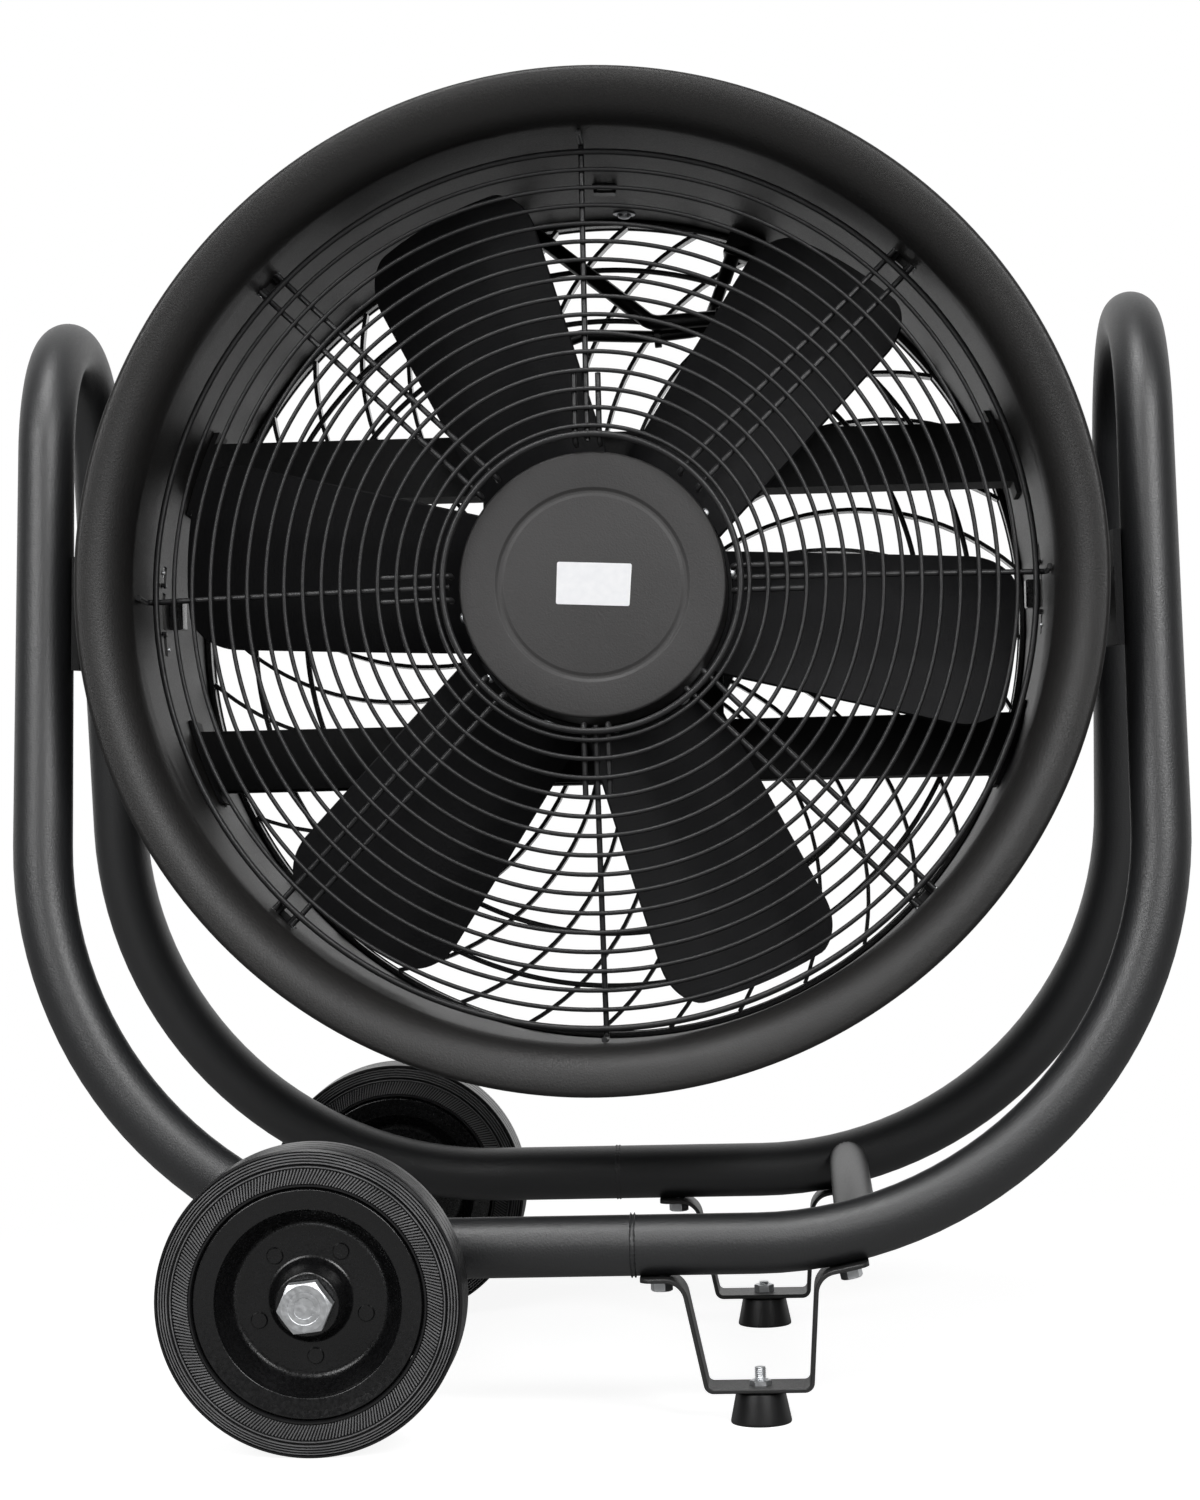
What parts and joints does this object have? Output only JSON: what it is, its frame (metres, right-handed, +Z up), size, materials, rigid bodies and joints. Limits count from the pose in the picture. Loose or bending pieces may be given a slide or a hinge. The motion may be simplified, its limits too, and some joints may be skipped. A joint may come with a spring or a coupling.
{
  "type": "drum fan",
  "caption": "Black tilting drum fan with a sheet-metal drum, wire front guard and spiral rear guard, hung in a tubular roll-cage cradle with two wheels and two rubber feet",
  "frame": {"origin": "on the floor, midway between the uprights and midway between the hoops", "axes": "+X to the right as seen from the front, +Y to the rear, +Z up; the front faces -Y"},
  "size_m": [0.611, 0.4656, 0.696],
  "materials": {
    "coat": "satin",
    "strap": "satin",
    "enamel": "gloss",
    "zinc": "satin",
    "rubber": "matte",
    "tyre": "matte",
    "bush": "matte",
    "lead": "matte",
    "wire": "satin",
    "guard": "matte",
    "stator": "matte",
    "motor": "satin",
    "steel": "satin",
    "blade": "satin"
  },
  "bodies": {
    "frame": {"frame_tube_left": "coat", "frame_tube_right": "coat", "cross_tube": "coat", "pivot_plate_left": "coat", "pivot_plate_right": "coat", "axle_rod": "zinc", "axle_nut": "zinc", "axle_sleeves": "zinc", "foot_strap_front": "strap", "foot_strap_rear": "strap", "strap_bolts": "zinc", "rubber_foot_front": "rubber", "rubber_foot_rear": "rubber", "foot_studs": "zinc"},
    "wheel_front": {"tyre_front": "tyre", "wheel_rim_front": "enamel", "wheel_bush_front": "bush"},
    "wheel_rear": {"tyre_rear": "tyre", "wheel_rim_rear": "enamel", "wheel_bush_rear": "bush"},
    "drum": {"drum_shell": "coat", "pivot_bolts": "zinc", "pivot_spacers": "coat", "pivot_nuts": "zinc", "guard_rings": "wire", "guard_spokes": "wire", "rear_guard": "guard", "rear_guard_rings": "guard", "motor_rail_upper": "coat", "motor_rail_lower": "coat", "motor_plate": "coat", "motor_stator": "stator", "junction_block": "bush", "motor_lead": "lead", "lead_sleeve": "lead"},
    "rotor": {"motor_can": "motor", "motor_shaft": "steel", "blade_ring": "motor", "fan_blade_1": "blade", "fan_blade_2": "blade", "fan_blade_3": "blade", "fan_blade_4": "blade", "fan_blade_5": "blade", "fan_blade_6": "blade"}
  },
  "joints": [
    {"name": "tilt", "type": "hinge", "parent": "frame", "child": "drum", "pos_m": [0, 0, 0.421], "axis": [1, 0, 0], "range_deg": [-85, 90]},
    {"name": "rotor_spin", "type": "hinge", "parent": "drum", "child": "rotor", "pos_m": [0, 0, 0.421], "axis": [0, -0.9968, 0.0802], "continuous": true},
    {"name": "wheel_front_spin", "type": "hinge", "parent": "frame", "child": "wheel_front", "pos_m": [-0.1419, -0.2025, 0.0762], "axis": [0, 1, 0], "continuous": true},
    {"name": "wheel_rear_spin", "type": "hinge", "parent": "frame", "child": "wheel_rear", "pos_m": [-0.1419, 0.2025, 0.0762], "axis": [0, 1, 0], "continuous": true}
  ]
}
